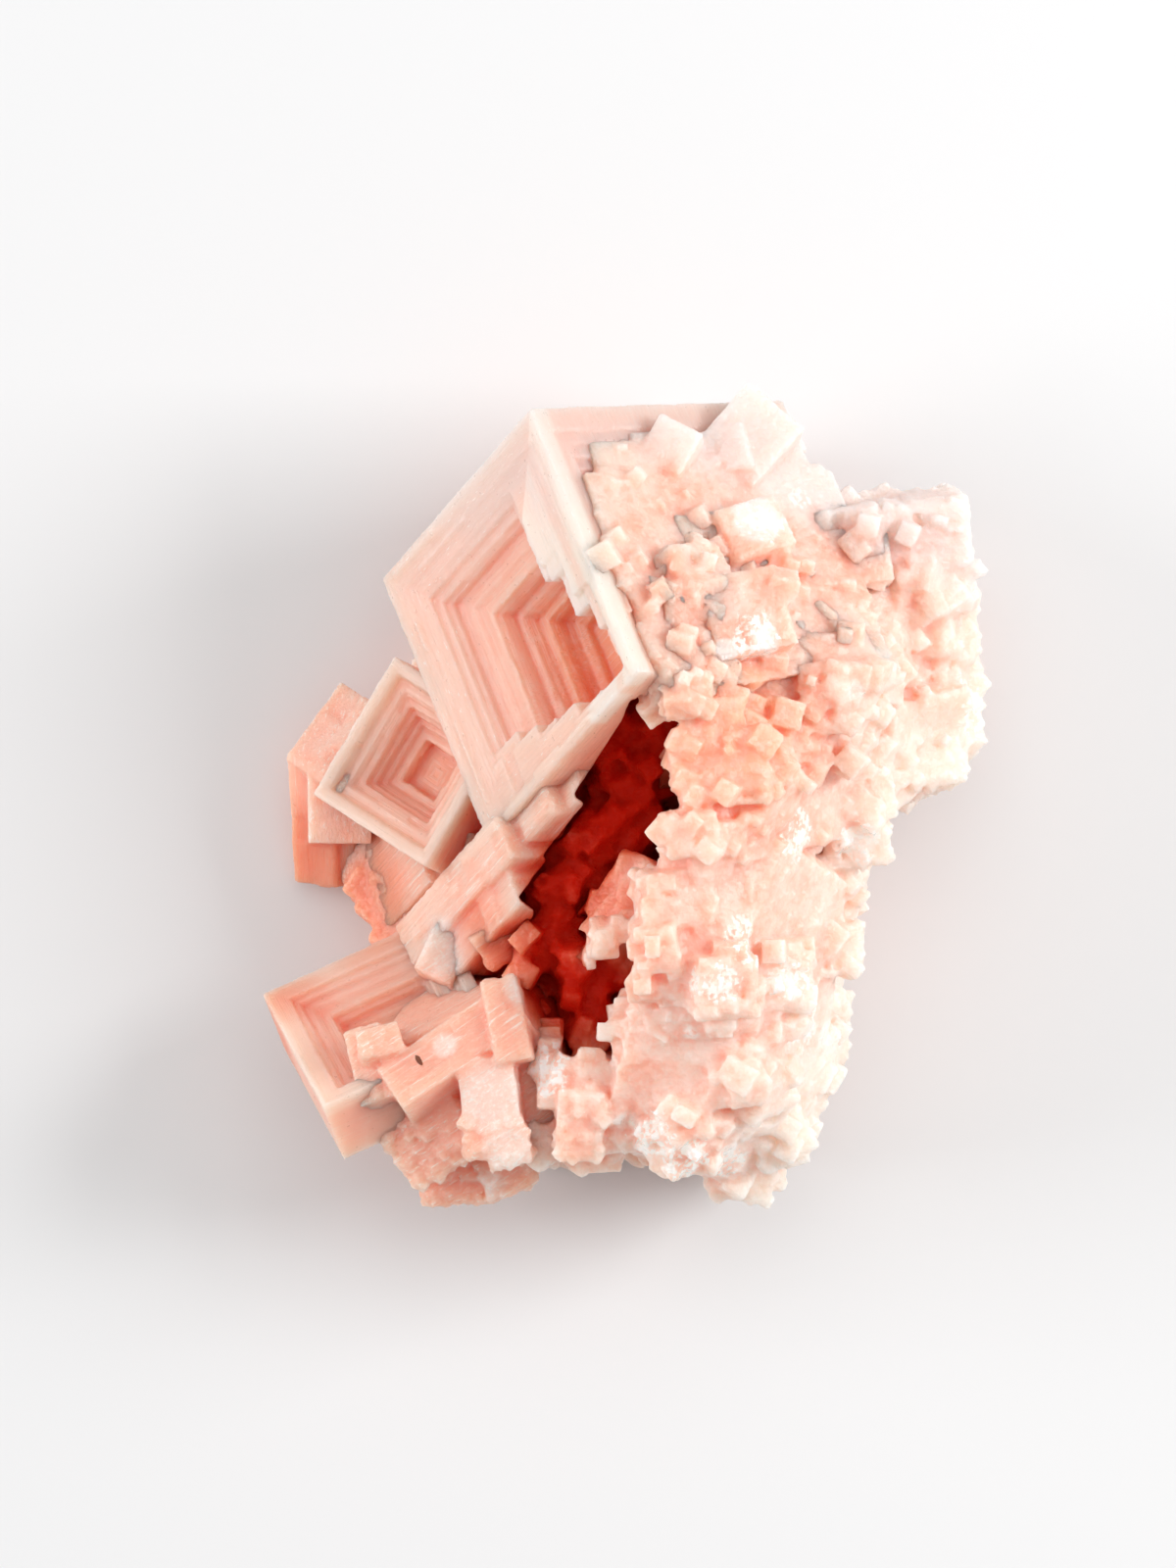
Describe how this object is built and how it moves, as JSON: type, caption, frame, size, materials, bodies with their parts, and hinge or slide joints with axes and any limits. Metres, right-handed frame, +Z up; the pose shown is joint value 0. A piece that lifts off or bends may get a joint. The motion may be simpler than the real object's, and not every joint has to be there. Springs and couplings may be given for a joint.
{
  "type": "halite hopper crystal cluster",
  "caption": "Translucent pink salt crystals grown together: stepped hopper cubes on one side, a sparkling crust of small cubes on the other, lying on a flat broken back.",
  "frame": {"origin": "centre of the bounding box in plan, on the flat broken back that the cluster rests on", "axes": "+Z up from the table, away from the broken back; +Y along the longest side, towards the top corner of the large cube; +X towards the crusty side"},
  "size_m": [0.0804, 0.0912, 0.0504],
  "materials": {
    "pink_halite": "translucent, glossy to frosted"
  },
  "bodies": {
    "root": {"halite_cluster": "pink_halite"}
  },
  "joints": []
}
